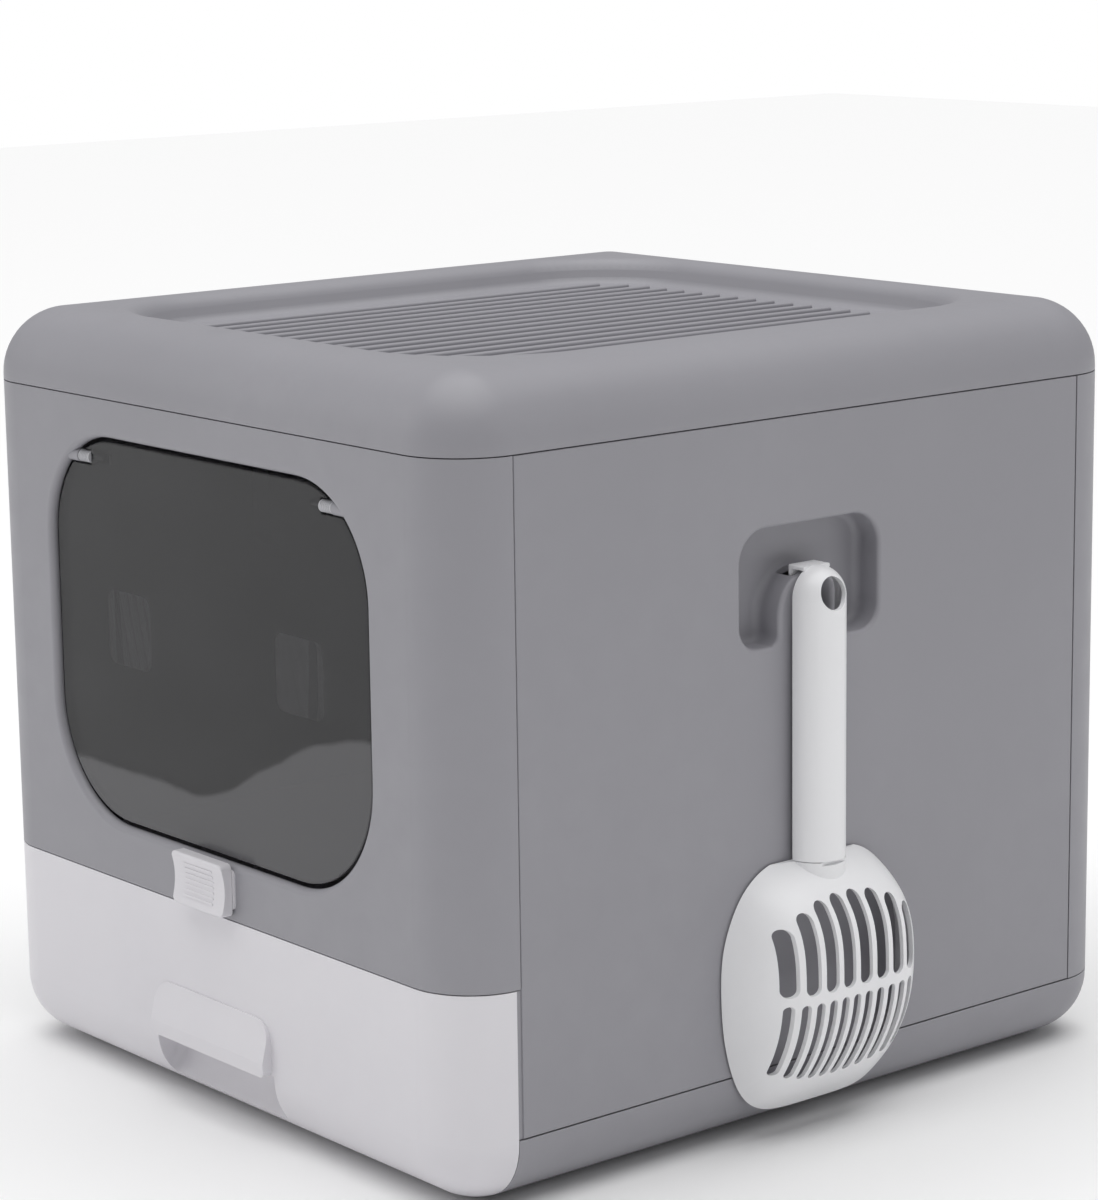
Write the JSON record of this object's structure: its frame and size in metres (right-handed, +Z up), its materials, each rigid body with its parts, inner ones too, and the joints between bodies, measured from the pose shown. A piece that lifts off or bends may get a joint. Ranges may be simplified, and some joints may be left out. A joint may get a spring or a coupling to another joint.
{
  "type": "cat litter box with hood",
  "caption": "Enclosed cat litter box: swinging smoked door, pull-out litter drawer, slide latch, lift-off lid with ribbed bed, scoop hung on the side.",
  "frame": {"origin": "on the ground under the middle of the box, half way between its side walls and half way between its front and rear walls", "axes": "+Z up; the door and drawer face -Y; +X is to the right when facing the door, and the scoop hangs on the +X wall"},
  "size_m": [0.436, 0.4457, 0.392],
  "materials": {
    "shell_grey": "satin, fine moulded grain",
    "drawer_white": "satin, fine moulded grain",
    "latch_white": "satin",
    "scoop_white": "smooth semi-gloss",
    "flap_smoke": "smoked, polished",
    "pad_frost": "frosted",
    "pin_grey": "satin",
    "screw_steel": "zinc plated"
  },
  "bodies": {
    "box": {"base_tray": "shell_grey", "left_side_panel": "shell_grey", "right_side_panel": "shell_grey", "rear_panel": "shell_grey", "front_panel": "shell_grey", "hinge_pin_left": "pin_grey", "hinge_pin_right": "pin_grey", "latch_track": "latch_white"},
    "lid": {"hood_lid": "shell_grey"},
    "flap": {"door_flap": "flap_smoke", "flap_pad_left": "pad_frost", "flap_pad_right": "pad_frost"},
    "latch": {"latch_slider": "latch_white", "latch_retainer": "latch_white", "latch_screws": "screw_steel"},
    "drawer": {"litter_drawer": "drawer_white"},
    "scoop": {"scoop_handle": "scoop_white", "scoop_head": "scoop_white"}
  },
  "joints": [
    {"name": "lid_lift", "type": "slide", "parent": "box", "child": "lid", "axis": [0, 0, 1], "range_m": [0, 0.15]},
    {"name": "flap_swing", "type": "hinge", "parent": "box", "child": "flap", "pos_m": [0, -0.2145, 0.3235], "axis": [1, 0, 0], "range_deg": [-75, 75]},
    {"name": "latch_slide", "type": "slide", "parent": "box", "child": "latch", "axis": [0, 0, 1], "range_m": [-0.006, 0.006]},
    {"name": "drawer_slide", "type": "slide", "parent": "box", "child": "drawer", "axis": [0, -1, 0], "range_m": [0, 0.36]},
    {"name": "scoop_lift", "type": "slide", "parent": "box", "child": "scoop", "axis": [0, 0, 1], "range_m": [0, 0.015]}
  ]
}
